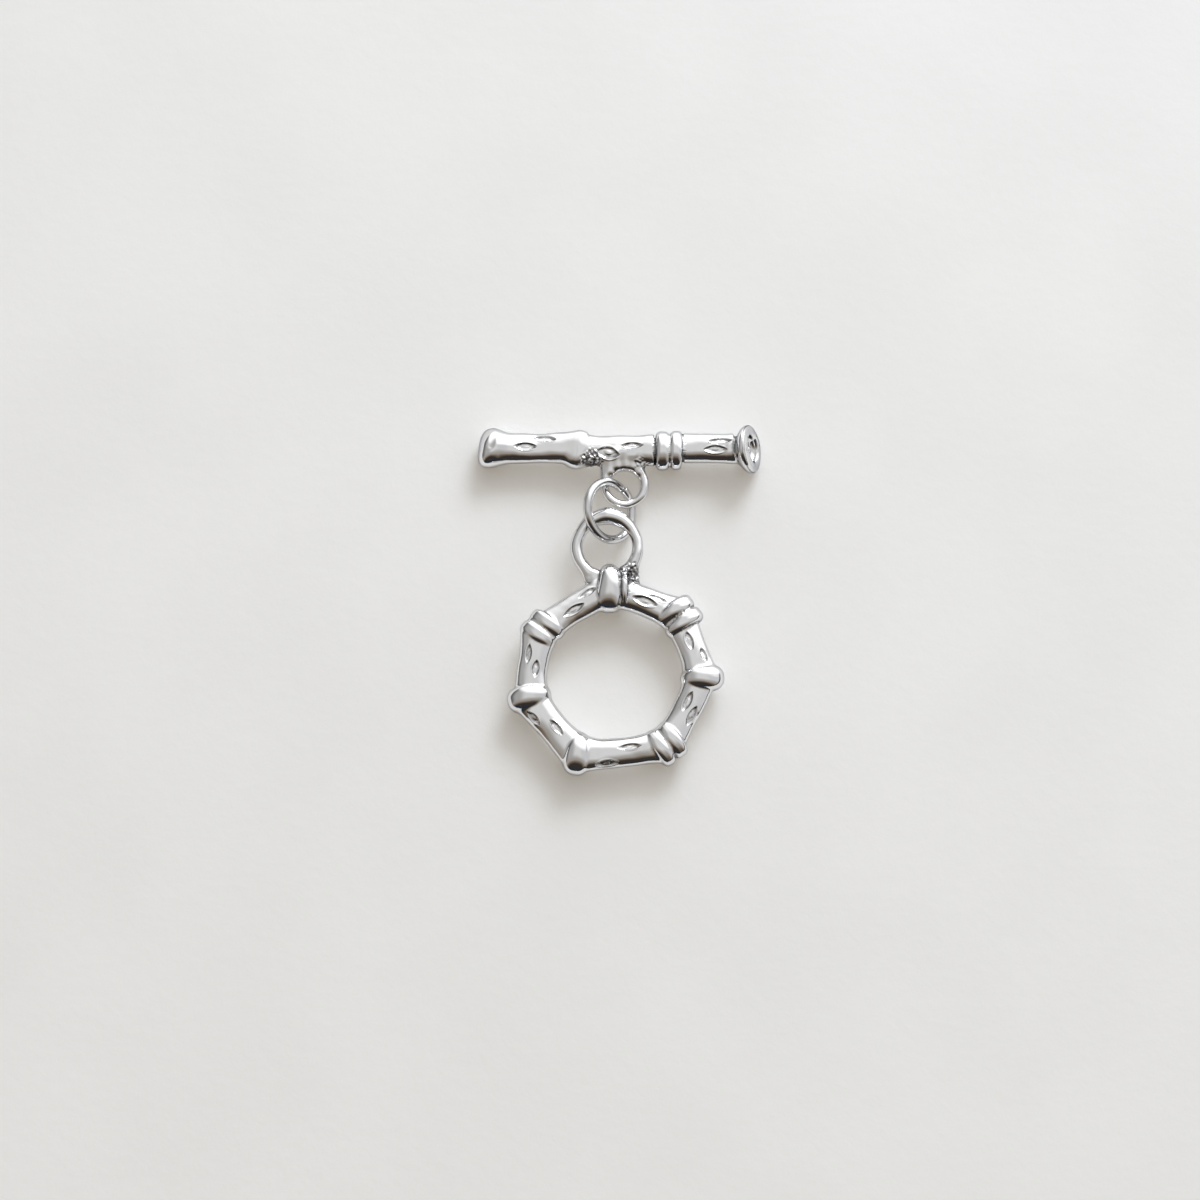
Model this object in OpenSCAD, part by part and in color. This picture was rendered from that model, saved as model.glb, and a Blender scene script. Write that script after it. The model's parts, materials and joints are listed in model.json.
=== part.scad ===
// Bamboo toggle clasp: a T bar with a cast loop, a ring with a cast loop, and
// the open jump ring that joins the two loops, all lying on a flat surface.
// Millimetres. X runs along the bar, Y away from the viewer and Z up from the
// surface. The origin is on the surface, under the middle of the clasp.

/* [Toggle bar] */
// Length of the bar over its two flared ends
bar_len = 22.95; // [20:0.1:26]
// Radius of a bar stem at its waist
bar_r = 1.15; // [0.9:0.01:1.3]
// How much a stem widens towards its knots
bar_swell = 0.12; // [0.05:0.01:0.2]
// Radius of the rim on the left end
left_rim_r = 1.68; // [1.45:0.01:1.8]
// Radius of the rim on the right end
right_rim_r = 1.95; // [1.8:0.01:2.2]
// Thickness of the left rim
left_rim_w = 0.8; // [0.6:0.02:1]
// Thickness of the right rim
right_rim_w = 0.9; // [0.7:0.02:1.1]
// Angle by which the left end face looks up
left_tilt = 38; // [20:1:45]
// Angle by which the right end face looks up
right_tilt = 22; // [10:1:35]
// Length over which a stem opens out to its rim
flare_len = 1.3; // [1:0.05:1.8]
// Radius of the knots on the bar
bar_knot_r = 1.6; // [1.5:0.01:1.7]
// Thickness of each band of a knot on the bar
bar_knot_w = 1.1; // [0.9:0.02:1.2]

/* [Bar loop] */
// Radius of the hole in the bar's loop
bar_loop_hole_r = 1.25; // [1.15:0.01:1.4]
// Radius of the wire of the bar's loop
bar_loop_wire_r = 0.36; // [0.3:0.01:0.4]
// Place of the loop along the bar, from the bar's middle
bar_loop_x = 0.44; // [-1:0.02:1]
// Slope of the loop down from the bar
bar_loop_slope = 2; // [0:0.5:5]

/* [Toggle ring] */
// Radius of the circle that the knots stand on
ring_r = 7.05; // [6.8:0.05:8]
// Radius of a ring stem at its waist
ring_stem_r = 1.08; // [0.9:0.02:1.2]
// How much a stem widens towards its knots
ring_swell = 0.14; // [0.05:0.01:0.2]
// Radius of the knots on the ring
ring_knot_r = 1.65; // [1.5:0.01:1.75]
// Radius of the big knot at the ring's loop
top_knot_r = 2; // [1.85:0.01:2.15]
// Thickness of a single knot on the ring
ring_knot_w = 1.7; // [1.4:0.02:1.9]
// Thickness of the big knot at the ring's loop
top_knot_w = 1.45; // [1.3:0.05:1.6]
// Thickness of each band of a double knot on the ring
twin_w = 1.12; // [1:0.02:1.25]

/* [Ring loop] */
// Radius of the hole in the ring's loop
ring_loop_hole_r = 2.04; // [1.9:0.02:2.2]
// Radius of the wire of the ring's loop
ring_loop_wire_r = 0.43; // [0.36:0.01:0.5]
// Place of the loop across the ring, from the ring's middle
ring_loop_x = -0.64; // [-0.9:0.02:-0.4]
// Extra height of the loop's peaked top
ring_loop_peak = 0.2; // [0.1:0.01:0.25]

/* [Jump ring] */
// Outer diameter of the jump ring
jump_od = 5.4; // [5.3:0.02:5.8]
// Thickness of the jump ring's wire
jump_wire = 0.7; // [0.6:0.01:0.76]
// Width of the cut where the jump ring opens
jump_cut = 0.12; // [0.06:0.01:0.3]

/* [Eye marks] */
// Length of an eye-shaped dent in a stem
eye_len = 1.9; // [1.6:0.1:2.1]
// Depth of a dent
eye_depth = 0.16; // [0.1:0.01:0.2]
// Radius of a dent's curve across its width
eye_edge_r = 0.45; // [0.36:0.01:0.55]

/* [Fit] */
// Least clearance between two links
link_gap = 0.12; // [0.08:0.01:0.16]
// How far the links lie in from being pulled tight
link_slack = 0.95; // [0.9:0.01:1.05]

/* [Hidden] */
$fn = 72;
arc_fn = 240;
silver = [0.78, 0.78, 0.79];

// Steps along a stem from end to end, and along a flare, for their cones
stem_steps = [-1, -0.8, -0.55, 0, 0.55, 0.8, 1];
flare_steps = [0, 0.35, 0.6, 0.8, 1];

// Bar stems, as shares of the bar's half length: where each starts and ends,
// and its radius there as a share of the swell. The outer two end in the flares.
bar_stems = [
  // start, end, swell at start, swell at end
  [-1, -0.274, 0.6, 2.6],
  [-0.274, 0.303, 2.6, 0.8],
  [0.396, 1, 0.7, 0.9],
];
// Bands on the bar: place as a share of the half length, width and radius as
// shares of the band's width and the knots' radius.
bar_bands = [
  // place, width share, radius share
  [-0.274, 0.9, 1],
  [0.303, 1, 0.99],
  [0.396, 0.88, 1.02],
];
// Which band the bar lies on, and which two the core joins
bar_low_band = 0;
core_bands = [1, 2];
// Eye marks on the bar: place as a share of the half length, and lean from
// straight up towards the far side.
bar_eyes = [
  // place, lean
  [-0.658, -4],
  [-0.521, 42],
  [-0.077, -32],
  [0.092, 14],
  [0.679, -28],
  [0.711, 23],
];
// Corners where the ring's stems meet, clockwise from the one at the loop, as
// the angle of each and its distance as a share of the ring's radius.
ring_corners = [
  // angle, reach
  [94.5, 1.008],
  [44.3, 1.013],
  [-1.3, 0.991],
  [-54.9, 1.03],
  [-113.8, 1.035],
  [-163.3, 1.021],
  [150.7, 1.012],
];
// The knot on each corner: angle and share of its place, angle of its bands,
// how many bands, and the radius and width of each.
ring_knots = [
  // angle, reach, band angle, bands, radius, width
  [93.5, 1, 90, 1, top_knot_r, top_knot_w],
  [42.4, 0.99, 36, 2, 0.97 * ring_knot_r, twin_w],
  [-2.7, 0.985, 3, 1, ring_knot_r, ring_knot_w],
  [-54.1, 0.985, -55, 2, 0.93 * ring_knot_r, twin_w],
  [-114.8, 1.005, -99, 1, ring_knot_r, ring_knot_w],
  [-164.6, 0.998, -166, 1, ring_knot_r, ring_knot_w],
  [147.7, 0.97, 142, 2, 0.91 * ring_knot_r, twin_w],
];
// The knot at the loop, and the one nearest to the viewer
top_knot = 0;
low_knot = 4;
// Eye marks on the stem after each corner: place along the stem as a share, and
// lean from straight up towards the outside, for an inner and an outer mark.
ring_eyes = [
  // inner place, inner lean, outer place, outer lean
  [0.53, -13, 0.67, 26],
  [0.46, -6, 0.73, 43],
  [0.39, -12, 0.53, 45],
  [0.42, -18, 0.69, 60],
  [0.46, -13, 0.75, 49],
  [0.44, -24, 0.64, 30],
  [0.5, -17, 0.75, 27],
];

// Outlines of the webs that join each loop to its casting, as shares of the
// loop's outer radius, seen from above with the loop's centre at the origin.
bar_neck = [
  // across, along
  [-0.93, 0.15],
  [-1.02, 1.2],
  [0.64, 1.2],
  [0.76, 0.5],
];
ring_web = [
  // across, along
  [-0.75, -0.5],
  [-0.58, -1.25],
  [0.76, -1.25],
  [0.84, -0.45],
];
// Thickness of a web as a share of its wire's
web_share = 0.72;
// Half of the angle that the loop's peak spans
peak_half_angle = 34;
// Radius of the core between two bands, as a share of the stem's
core_share = 0.96;
// Turn of the left end about the bar, away from the viewer
left_roll = 25;
// Rounding of a band's edge as a share of its width
band_edge = 0.53;
// Dish of an end face: its radius as a share of the rim's, its depth as a
// share of the rim's thickness, and how far a flare stays inside the rim
dish_share = 0.86;
dish_depth_share = 0.62;
flare_share = 0.3;
// How far an outer stem reaches into its flare
flare_lap = 0.25;
// How far a web stops inside its wire, as a share of the wire's radius
web_lap = 0.5;

bar_half = bar_len / 2;
left_reach = (left_rim_r - left_rim_w / 2) * sin(left_tilt) + left_rim_w / 2;
right_reach = (right_rim_r - right_rim_w / 2) * sin(right_tilt) + right_rim_w / 2;
left_x = -bar_half + left_reach;
right_x = bar_half - right_reach;
function stem_x(share) =
  max(left_x + flare_len - flare_lap, min(right_x - flare_len + flare_lap, share * bar_half));

// The bar lies on its right rim and on its lowest band or its left rim
right_foot = (right_rim_r - right_rim_w / 2) * cos(right_tilt) + right_rim_w / 2;
right_foot_x = right_x + (right_rim_r - right_rim_w / 2) * sin(right_tilt);
left_look = sin(left_tilt) * cos(left_roll);
left_foot = (left_rim_r - left_rim_w / 2) * sqrt(1 - left_look * left_look) + left_rim_w / 2;
low_band_x = bar_bands[bar_low_band][0] * bar_half;
low_band_r = bar_bands[bar_low_band][2] * bar_knot_r;
bar_pitch = min(
  atan((right_foot - low_band_r) / (right_foot_x - low_band_x)),
  atan((right_foot - left_foot) / (right_foot_x + bar_half)));
// Height of the bar's axis over the surface at its middle
bar_z = right_foot * cos(bar_pitch) - right_foot_x * sin(bar_pitch);

function on_ring(k) = ring_r * k[1] * [cos(k[0]), sin(k[0])];
corner = [for (k = ring_corners) on_ring(k)];
knot_place = [for (k = ring_knots) on_ring(k)];
knots = len(ring_knots);
function unit(v) = v / norm(v);
function run_dir(i) = unit(corner[(i + 1) % knots] - corner[i]);
function heading_at(i) =
  let (v = run_dir(i) + run_dir((i + knots - 1) % knots))
  atan2(v[1], v[0]);
foot_span = knot_place[top_knot][1] - knot_place[low_knot][1];
ring_pitch = atan((top_knot_r - ring_knot_r) / foot_span);
ring_z = top_knot_r * cos(ring_pitch) - knot_place[top_knot][1] * sin(ring_pitch);

bar_loop_r = bar_loop_hole_r + bar_loop_wire_r;
bar_loop_reach = bar_r + bar_loop_r + bar_loop_wire_r;
ring_loop_r = ring_loop_hole_r + ring_loop_wire_r;
// How far the ring's loop stands off the top knot's stems
loop_seat = 0.25;
ring_loop_y = ring_r + ring_stem_r + ring_loop_hole_r + loop_seat;
jump_wire_r = jump_wire / 2;
jump_r = jump_od / 2 - jump_wire_r;

// The jump ring passes over each loop's left wire and under its right wire.
// The two crossings of the bar's loop set how steeply it leans.
cross_left = -0.235 * jump_r;
cross_right = 0.722 * jump_r;
// Extra rise that clears the wires where they cross aslant
cross_skew = 1.186;
cross_rise = cross_skew * (jump_wire_r + bar_loop_wire_r + link_gap);
ring_to_jump = ring_loop_r + jump_r - ring_loop_wire_r - jump_wire_r - link_slack;
jump_to_bar = bar_loop_r + jump_r - bar_loop_wire_r - jump_wire_r - link_slack;
// How much lower the sloping loop lies at the right crossing
cross_drop = (jump_to_bar - sqrt(jump_r * jump_r - cross_right * cross_right)) * sin(bar_loop_slope);
jump_lean = atan((2 * cross_rise + cross_drop) / (cross_right - cross_left));
jump_lift = cross_rise + cross_left * tan(jump_lean);
// Turn of the jump ring seen from above, and the angle where it is cut
jump_yaw = -7.4;
cut_at = 65;
// How far the jump ring hangs to the left of each loop's middle
bar_link_shift = 0.51 * jump_r;
ring_link_shift = 0.103 * jump_r;

// Places along Y, from the ring's middle towards the bar, and heights
jump_y = ring_loop_y * cos(ring_pitch) + ring_to_jump;
bar_loop_y = jump_y + jump_to_bar;
bar_y = bar_loop_y + bar_loop_reach * cos(bar_loop_slope);
bar_z_at_loop = bar_z + bar_loop_x * sin(bar_pitch);
bar_loop_z = bar_z_at_loop - bar_loop_reach * sin(bar_loop_slope);
jump_x = bar_loop_x - bar_link_shift;
jump_z = bar_loop_z + jump_lift;
ring_x = jump_x - ring_link_shift - ring_loop_x;

// Middle of the clasp along Y: half way between the far side of the right rim
// and the near side of the lowest knots.
function band_reach(k) =
  let (a = ring_knots[k][2], e = ring_knots[k][5] / 2)
  (ring_knots[k][4] - e) * abs(sin(a)) + e - knot_place[k][1];
near_reach = band_reach(low_knot) * cos(ring_pitch);
mid_y = (bar_y + right_rim_r - near_reach) / 2;

function arc_radius(len, rise) = (len * len + rise * rise) / (2 * rise);

// Stem along +X from x = 0, narrowest in its middle and turned in short cones
// that widen towards its ends with the square of the distance
module stem(len, waist_r, rise_start, rise_end) {
  side = [for (s = stem_steps)
    [waist_r + s * s * (s < 0 ? rise_start : rise_end), len * (1 + s) / 2]];
  rotate([0, 90, 0]) rotate_extrude() polygon(concat([[0, 0]], side, [[0, len]]));
}

// Band round the X axis with a bulging edge
module band(r, w) {
  e = band_edge * w;
  rotate([0, 90, 0])
    rotate_extrude()
      intersection() {
        translate([0, -w / 2]) square([r, w]);
        union() {
          translate([r - e, 0]) circle(r = e);
          translate([0, -w]) square([r - e, 2 * w]);
        }
      }
}

module wire_loop(r, wire_r) {
  rotate_extrude() translate([r, 0]) rotate(90) circle(r = wire_r);
}

// Dents on both faces of a stem that lies along X, each cut by the rim of a
// wheel that stands along the stem and leaves an eye shape
module eye_pair(x, lean, stem_r) {
  wheel_r = arc_radius(eye_len / 2, eye_depth);
  for (side = [1, -1])
    rotate([-side * lean, 0, 0])
      translate([x, 0, side * (stem_r + wheel_r - eye_depth)])
        rotate([90, 0, 0]) wire_loop(wheel_r - eye_edge_r, eye_edge_r, $fn = arc_fn);
}

// Trumpet along +X that starts as wide as a stem and opens by rise
module flare(len, start_r, rise) {
  side = [for (s = flare_steps) [start_r + s * s * rise, len * s]];
  rotate([0, 90, 0]) rotate_extrude() polygon(concat([[0, 0]], side, [[0, len]]));
}

// Rim with a dished face that looks along +X and tilts up
module flared_end(rim_r, rim_w, tilt, start_r) {
  dish_depth = rim_w * dish_depth_share;
  dish_ball = arc_radius(rim_r * dish_share, dish_depth);
  flare_r = rim_r - rim_w * flare_share;
  difference() {
    union() {
      rotate([0, -tilt, 0]) band(rim_r, rim_w);
      difference() {
        translate([-flare_len, 0, 0]) flare(flare_len, start_r, flare_r - start_r);
        rotate([0, -tilt, 0])
          translate([0, -rim_r, -2 * rim_r]) cube([2 * flare_len, 2 * rim_r, 4 * rim_r]);
      }
    }
    rotate([0, -tilt, 0])
      translate([rim_w / 2 + dish_ball - dish_depth, 0, 0]) sphere(r = dish_ball, $fn = arc_fn);
  }
}

module bar_body() {
  difference() {
    for (s = bar_stems)
      translate([stem_x(s[0]), 0, 0])
        stem(stem_x(s[1]) - stem_x(s[0]), bar_r, s[2] * bar_swell, s[3] * bar_swell);
    for (e = bar_eyes) eye_pair(e[0] * bar_half, e[1], bar_r);
  }
  for (b = bar_bands)
    translate([b[0] * bar_half, 0, 0]) band(b[2] * bar_knot_r, b[1] * bar_knot_w);
  core = [for (b = core_bands) bar_bands[b][0] * bar_half];
  translate([core[0] - bar_r / 2, 0, 0])
    rotate([0, 90, 0]) cylinder(r = bar_r * core_share, h = core[1] - core[0] + bar_r);
}

// Flat web in the plane of a loop of wire, outlined by shares of the loop's
// outer radius, that stops inside the wire round the hole
module loop_web(outline, hole_r, wire_r) {
  thick = 2 * wire_r * web_share;
  difference() {
    translate([0, 0, -thick / 2])
      linear_extrude(thick) polygon((hole_r + 2 * wire_r) * outline);
    cylinder(r = hole_r + wire_r * web_lap, h = 4 * thick, center = true);
  }
}

module toggle_bar() {
  color(silver)
    translate([0, bar_y, bar_z]) {
      rotate([0, -bar_pitch, 0]) {
        bar_body();
        translate([right_x, 0, 0]) flared_end(right_rim_r, right_rim_w, right_tilt, bar_r);
        translate([left_x, 0, 0])
          mirror([1, 0, 0]) rotate([-left_roll, 0, 0]) flared_end(left_rim_r, left_rim_w, left_tilt, bar_r);
      }
    }
  color(silver)
    translate([bar_loop_x, bar_loop_y, bar_loop_z])
      rotate([bar_loop_slope, 0, 0]) {
        wire_loop(bar_loop_r, bar_loop_wire_r);
        loop_web(bar_neck, bar_loop_hole_r, bar_loop_wire_r);
      }
}

// Half space behind the mitre of corner i, on the side away from dir * heading
module mitre_side(i, dir) {
  size = 4 * ring_knot_r;
  translate(corner[i])
    rotate([0, 0, heading_at(i) + (dir > 0 ? 0 : 180)])
      translate([-size, -size / 2, -size / 2]) cube(size);
}

// Stem from corner i to the next, mitred against its neighbours
module ring_stem(i) {
  j = (i + 1) % knots;
  run = corner[j] - corner[i];
  n = norm(run);
  over = ring_stem_r;
  marks = ring_eyes[i];
  difference() {
    translate(corner[i])
      rotate([0, 0, atan2(run[1], run[0])])
        difference() {
          translate([-over, 0, 0]) stem(n + 2 * over, ring_stem_r, ring_swell, ring_swell);
          eye_pair(marks[0] * n, marks[1], ring_stem_r);
          eye_pair(marks[2] * n, marks[3], ring_stem_r);
        }
    mitre_side(i, 1);
    mitre_side(j, -1);
  }
}

// Peaked top of the ring's loop
module loop_peak() {
  thick = 2 * ring_loop_wire_r * web_share;
  half = ring_loop_r * sin(peak_half_angle);
  foot = ring_loop_r * cos(peak_half_angle);
  tip = ring_loop_r + ring_loop_wire_r + ring_loop_peak;
  translate([0, 0, -thick / 2])
    linear_extrude(thick) polygon([[-half, foot], [0, tip], [half, foot], [0, ring_loop_r]]);
}

module ring_knot(i) {
  k = ring_knots[i];
  translate(knot_place[i])
    rotate([0, 0, k[2] + 90])
      for (side = k[3] == 1 ? [0] : [-0.5, 0.5])
        translate([side * k[5], 0, 0]) band(k[4], k[5]);
}

module jump_ring() {
  half_cut = asin(jump_cut / 2 / jump_r);
  color(silver)
    translate([jump_x, jump_y, jump_z])
      rotate([0, jump_lean, jump_yaw])
        rotate([0, 0, cut_at + half_cut])
          rotate_extrude(angle = 360 - 2 * half_cut)
            translate([jump_r, 0]) circle(r = jump_wire_r);
}

module toggle_ring() {
  color(silver)
    translate([ring_x, 0, ring_z])
      rotate([ring_pitch, 0, 0]) {
        for (i = [0 : knots - 1]) {
          ring_stem(i);
          ring_knot(i);
        }
        translate([ring_loop_x, ring_loop_y, 0]) {
          wire_loop(ring_loop_r, ring_loop_wire_r);
          loop_web(ring_web, ring_loop_hole_r, ring_loop_wire_r);
          loop_peak();
        }
      }
}

translate([0, -mid_y, 0]) toggle_bar();
translate([0, -mid_y, 0]) jump_ring();
translate([0, -mid_y, 0]) toggle_ring();
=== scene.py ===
import json
from math import asin, cos, pi, radians, sin

import bmesh
import bpy
import numpy as np
from mathutils import Matrix, Vector


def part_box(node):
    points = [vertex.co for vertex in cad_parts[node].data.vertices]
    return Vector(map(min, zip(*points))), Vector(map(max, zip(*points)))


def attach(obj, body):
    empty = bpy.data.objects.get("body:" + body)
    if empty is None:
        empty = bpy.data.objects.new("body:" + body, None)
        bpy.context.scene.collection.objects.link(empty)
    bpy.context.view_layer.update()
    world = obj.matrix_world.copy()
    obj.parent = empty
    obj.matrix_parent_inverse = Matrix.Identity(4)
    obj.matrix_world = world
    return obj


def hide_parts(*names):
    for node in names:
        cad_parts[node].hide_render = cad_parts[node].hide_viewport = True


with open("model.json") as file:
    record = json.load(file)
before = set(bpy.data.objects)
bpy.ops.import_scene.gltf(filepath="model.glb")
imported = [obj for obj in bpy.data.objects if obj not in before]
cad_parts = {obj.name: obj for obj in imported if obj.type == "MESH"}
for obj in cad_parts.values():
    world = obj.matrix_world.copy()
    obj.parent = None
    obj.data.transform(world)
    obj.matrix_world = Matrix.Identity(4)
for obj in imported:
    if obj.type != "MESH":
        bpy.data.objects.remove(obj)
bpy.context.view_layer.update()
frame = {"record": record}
mounts = {m["name"]: m for m in frame["record"]["mounts"]}
mm = 0.001

# The pieces are shaped in millimetres, in the frame's own axes, and finishPiece
# brings them to metres. The finishes and the studio are in metres.

# Section of both castings: stems are squarer, wider and flatter than round, and
# bands are flatter above than below
stemOval = dict(square=2.2, wide=1.05, flat=0.66)
bandFlat = dict(above=0.66, below=0.93)
roundEdge = [radians(a) for a in range(0, 91, 15)]


def vec(*xyz):
    return np.array(xyz, dtype=float)


def unit(v):
    return v / np.linalg.norm(v)


def placeAt(origin, *turns):
    place = Matrix.Translation(Vector(origin))
    for axis, degrees in turns:
        place = turned(place, axis, degrees)
    return place


def placeAlong(start, end):
    # X along the line, Z kept as upright as it can be
    x = unit(end - start)
    y = unit(np.cross(vec(0, 0, 1), x))
    z = np.cross(x, y)
    return Matrix([[x[i], y[i], z[i], start[i]] for i in range(3)] + [[0, 0, 0, 1]])


def turned(place, axis, degrees):
    return place @ Matrix.Rotation(radians(degrees), 4, axis)


def slid(place, x=0, y=0, z=0):
    return place @ Matrix.Translation((x, y, z))


def pointAt(place, xyz):
    return np.array(place @ Vector(xyz))


def localPoints(points, place):
    m = np.array(place.inverted())
    return points @ m[:3, :3].T + m[:3, 3]


# Forms: each gives about the signed distance of points from one turned or bent
# part, negative inside, and its shell is a rough mesh of the same part.

def joinForms(a, b, blend):
    h = np.maximum(blend - np.abs(a - b), 0) / blend
    return np.minimum(a, b) - h * h * blend / 4


def cutForm(a, b, blend):
    return -joinForms(-a, b, blend)


def easeStep(x):
    x = np.clip(x, 0, 1)
    return x * x * (3 - 2 * x)


def spinOutline(mesh, outline, place, steps=40):
    # outline is a list of (x, radius) from one end of the X axis to the other
    verts = [mesh.verts.new((x, max(r, 0), 0)) for x, r in outline]
    edges = [mesh.edges.new(pair) for pair in zip(verts, verts[1:])]
    bmesh.ops.spin(mesh, geom=verts + edges, cent=(0, 0, 0), axis=(1, 0, 0),
                   angle=2 * pi, steps=steps, use_merge=True)
    spun, grown = set(verts), set(verts)
    while grown:
        grown = {e.other_vert(v) for v in grown for e in v.link_edges} - spun
        spun |= grown
    bmesh.ops.transform(mesh, matrix=place, verts=list(spun))


class Turned:
    # Turned about X, round or oval; sides is a list of (x, radius)
    rings, slopeStep, cornerRoom = 25, 0.01, 1.1

    def __init__(self, place, sides, blend=0.12, cap=0.1, square=2.0, wide=1.0, flat=1.0):
        self.place, self.blend, self.cap = place, blend, cap
        self.square, self.wide, self.flat = square, wide, flat
        self.x, self.r = np.array(sides, dtype=float).T
        self.slope = np.gradient(self.r, self.x)
        self.centre = pointAt(place, ((self.x[0] + self.x[-1]) / 2, 0, 0))
        self.reach = np.hypot((self.x[-1] - self.x[0]) / 2, self.r.max() * self.cornerRoom)

    def radiusAt(self, x):
        # smooth curve through the sides
        i = np.clip(np.searchsorted(self.x, x) - 1, 0, len(self.x) - 2)
        width = self.x[i + 1] - self.x[i]
        t = np.clip((x - self.x[i]) / width, 0, 1)
        a, b, ta, tb = self.r[i], self.r[i + 1], self.slope[i] * width, self.slope[i + 1] * width
        h = (2 * t**3 - 3 * t**2 + 1) * a + (t**3 - 2 * t**2 + t) * ta
        return h + (3 * t**2 - 2 * t**3) * b + (t**3 - t**2) * tb

    def form(self, points):
        p = localPoints(points, self.place)
        n = self.square
        radial = (np.abs(p[:, 1] / self.wide) ** n + np.abs(p[:, 2] / self.flat) ** n) ** (1 / n)
        r = self.radiusAt(p[:, 0])
        slope = (self.radiusAt(p[:, 0] + self.slopeStep) - r) / self.slopeStep
        side = (radial - r) / np.sqrt(1 + slope**2)
        ends = np.maximum(self.x[0] - p[:, 0], p[:, 0] - self.x[-1])
        return cutForm(side, -ends, self.cap)

    def shell(self, mesh):
        x = np.linspace(self.x[0], self.x[-1], self.rings)
        outline = [(x[0], 0)] + list(zip(x, self.radiusAt(x))) + [(x[-1], 0)]
        spinOutline(mesh, outline, self.place)


class Band:
    # Disc about X with a round edge; taper widens it towards +Y
    axisRoom = 0.2  # keeps the taper even near the axis

    def __init__(self, place, radius, width, blend, edge=0.5, taper=0.0):
        self.place, self.blend, self.taper = place, blend, taper
        self.radius, self.width, self.edge = radius, width, edge * width
        self.centre = np.array(place.translation)
        self.reach = np.hypot(radius, width / 2)

    def form(self, points):
        p = localPoints(points, self.place)
        radial = np.hypot(p[:, 1], p[:, 2] / np.where(p[:, 2] > 0, bandFlat["above"], bandFlat["below"]))
        lean = p[:, 1] / np.maximum(radial, self.axisRoom)
        half = self.width / 2 * (1 + self.taper * lean)
        edge = np.minimum(self.edge, half)
        qx = np.abs(p[:, 0]) - (half - edge)
        qr = radial - (self.radius - edge)
        outside = np.hypot(np.maximum(qx, 0), np.maximum(qr, 0))
        return outside + np.minimum(np.maximum(qx, qr), 0) - edge

    def shell(self, mesh):
        e, w = self.edge, self.width / 2
        right = [(w - e + e * sin(a), self.radius - e + e * cos(a)) for a in roundEdge]
        outline = [(-w, 0)] + [(-x, r) for x, r in reversed(right)] + right + [(w, 0)]
        spinOutline(mesh, outline, self.place)


class WireLoop:
    # Ring of wire in the XY plane; peak thickens it and moves it out towards +Y
    peakHalf, peakPower, outShare, thickShare = radians(56), 1.2, 0.35, 0.65

    def __init__(self, place, radius, wire, blend, peak=0.0, flat=1.0):
        self.place, self.blend, self.flat = place, blend, flat
        self.radius, self.wire, self.peak = radius, wire, peak
        self.centre = np.array(place.translation)
        self.reach = radius + wire + peak

    def form(self, points):
        p = localPoints(points, self.place)
        across = np.hypot(p[:, 0], p[:, 1])
        angle = np.arctan2(p[:, 0], p[:, 1])
        crest = np.maximum(1 - np.abs(angle) / self.peakHalf, 0) ** self.peakPower
        rim = across - self.radius - self.outShare * self.peak * crest
        return np.hypot(rim, p[:, 2] / self.flat) - self.wire - self.thickShare * self.peak * crest

    def shell(self, mesh):
        # a little thicker than the round form, because its sides are flat
        made = bmesh.ops.create_circle(mesh, segments=16, radius=self.wire * 1.02)["verts"]
        start = turned(Matrix.Translation((self.radius, 0, 0)), "X", 90)
        bmesh.ops.transform(mesh, matrix=self.place @ start, verts=made)
        edges = list({e for v in made for e in v.link_edges})
        axis = self.place.to_3x3() @ Vector((0, 0, 1))
        bmesh.ops.spin(mesh, geom=made + edges, cent=self.place.translation, axis=axis,
                       angle=2 * pi, steps=72, use_merge=True)


class Rod:
    # Round-ended rod from one point to another, which may taper
    def __init__(self, start, end, radius, endRadius=None, blend=0.3):
        self.blend = blend
        self.place = placeAlong(start, end)
        self.length = float(np.linalg.norm(end - start))
        self.radius = radius
        self.endRadius = radius if endRadius is None else endRadius
        self.centre = (start + end) / 2
        self.reach = self.length / 2 + max(radius, self.endRadius)

    def form(self, points):
        p = localPoints(points, self.place)
        along = np.clip(p[:, 0] / self.length, 0, 1)
        away = np.sqrt((p[:, 0] - along * self.length) ** 2 + p[:, 1] ** 2 + p[:, 2] ** 2)
        return away - (self.radius + along * (self.endRadius - self.radius))

    def shell(self, mesh):
        a, b = self.radius, self.endRadius
        outline = [(-a * cos(t), a * sin(t)) for t in roundEdge]
        outline += [(self.length + b * sin(t), b * cos(t)) for t in roundEdge]
        spinOutline(mesh, outline, self.place)


class Slice:
    # Everything beyond a plane, within reach of a point of it
    def __init__(self, centre, normal, reach):
        self.centre, self.normal, self.reach = centre, unit(normal), reach

    def form(self, points):
        return -(points - self.centre) @ self.normal


# Eye marks: length, width, depth and lip in mm and the radius of their stem,
# then the shape as shares: the wall, the seed in the middle, the raised lip
# outside the edge, and where painted shade darkens the wall inside the edge
eyeMark = dict(
    length=1.95, width=0.62, depth=0.24, lip=0.02, stem=1.1, shallow=0.4, deepest=1.15,
    wall=0.12, wallShare=0.45, bowlShare=0.55, seed=0.5, seedShare=0.4,
    lipAt=-0.2, lipReach=0.3, lipEnd=1.05, lipFade=0.3,
    darkAt=0.2, darkReach=0.36, darkShare=0.75, darkEnd=1.0, darkFade=0.2,
)


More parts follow.
